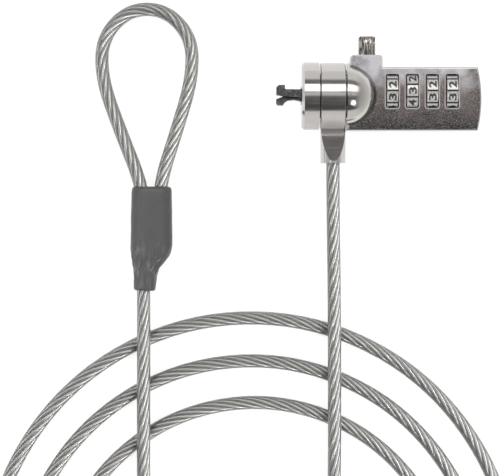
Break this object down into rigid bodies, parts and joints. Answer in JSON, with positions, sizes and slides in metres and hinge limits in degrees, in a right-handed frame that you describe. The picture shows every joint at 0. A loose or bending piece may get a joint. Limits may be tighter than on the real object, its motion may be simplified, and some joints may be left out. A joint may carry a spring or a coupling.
{
  "type": "laptop cable lock",
  "caption": "Combination laptop cable lock: dial head with sprung hooks for a security slot, swivel ring, push button, and a sheathed steel cable with an eye.",
  "frame": {"origin": "centre of the nose collar's front face, on the barrel axis, where the head meets the laptop", "axes": "+X along the barrel from the nose to the dial end, +Y towards the release button, +Z out of the dial face; the lock lies on a surface at z = -9.85 mm"},
  "size_m": [0.1606, 0.2525, 0.0197],
  "materials": {
    "chrome": "polished nickel-chrome plating on a zinc casting",
    "button_chrome": "polished plating",
    "hook_steel": "hardened steel, dark, lightly brushed",
    "pin_steel": "plain steel",
    "dial_metal": "bright plated wheels with black filled digits",
    "hub_brass": "turned brass",
    "crimp_aluminium": "crimped aluminium",
    "cable": "clear sheath over bright steel wire rope",
    "grey_sleeve": "dark grey moulded sleeve, matte"
  },
  "bodies": {
    "cable_end": {"swivel_ring": "chrome", "cable_stop": "crimp_aluminium", "cable_lead": "cable", "cable_coil": "cable", "cable_tail": "cable", "cable_eye": "cable", "loop_ferrule": "crimp_aluminium", "loop_sleeve": "grey_sleeve"},
    "case": {"body_case": "chrome", "back_cover": "chrome", "cover_rivets": "pin_steel", "nose_collar": "chrome", "collar_pin": "pin_steel", "hook_pin": "pin_steel", "hook_spring": "pin_steel", "button_pin": "pin_steel", "detent_spring": "pin_steel"},
    "button": {"release_button": "button_chrome"},
    "spindle_slider": {"spindle": "hub_brass"},
    "upper_hook": {"hook_upper": "hook_steel"},
    "lower_hook": {"hook_lower": "hook_steel"},
    "reset": {"reset_screw": "pin_steel"},
    "wheel_1": {"dial_1": "dial_metal", "hub_1": "hub_brass"},
    "wheel_2": {"dial_2": "dial_metal", "hub_2": "hub_brass"},
    "wheel_3": {"dial_3": "dial_metal", "hub_3": "hub_brass"},
    "wheel_4": {"dial_4": "dial_metal", "hub_4": "hub_brass"}
  },
  "joints": [
    {"name": "swivel", "type": "hinge", "parent": "cable_end", "child": "case", "pos_m": [0.00905, 0, 0], "axis": [1, 0, 0], "continuous": true},
    {"name": "button_press", "type": "slide", "parent": "case", "child": "button", "axis": [0, 1, 0], "range_m": [-0.0026, 0], "stiffness_N_per_m": 300, "springref_m": 0.001, "deforming": ["hook_spring"]},
    {"name": "spindle_slide", "type": "slide", "parent": "case", "child": "spindle_slider", "axis": [1, 0, 0], "range_m": [-0.0026, 0]},
    {"name": "upper_hook_pivot", "type": "hinge", "parent": "case", "child": "upper_hook", "pos_m": [0.0065, 0, 0], "axis": [0, 0, 1], "range_deg": [0, 7.61]},
    {"name": "lower_hook_pivot", "type": "hinge", "parent": "case", "child": "lower_hook", "pos_m": [0.0065, 0, 0], "axis": [0, 0, 1], "range_deg": [-7.61, 0]},
    {"name": "reset_turn", "type": "hinge", "parent": "case", "child": "reset", "pos_m": [0.049, -0.007, -0.0006], "axis": [1, 0, 0], "range_deg": [0, 90]},
    {"name": "dial_1_turn", "type": "hinge", "parent": "case", "child": "wheel_1", "pos_m": [0.0263, 0.0011, 0], "axis": [1, 0, 0], "continuous": true},
    {"name": "dial_2_turn", "type": "hinge", "parent": "case", "child": "wheel_2", "pos_m": [0.0321, 0.0011, 0], "axis": [1, 0, 0], "continuous": true},
    {"name": "dial_3_turn", "type": "hinge", "parent": "case", "child": "wheel_3", "pos_m": [0.0379, 0.0011, 0], "axis": [1, 0, 0], "continuous": true},
    {"name": "dial_4_turn", "type": "hinge", "parent": "case", "child": "wheel_4", "pos_m": [0.0437, 0.0011, 0], "axis": [1, 0, 0], "continuous": true}
  ],
  "couplings": [
    {"joint": "spindle_slide", "follows": "button_press", "ratio": 1},
    {"joint": "upper_hook_pivot", "follows": "button_press", "rad_per_m": -51.017},
    {"joint": "lower_hook_pivot", "follows": "button_press", "rad_per_m": 51.017}
  ]
}
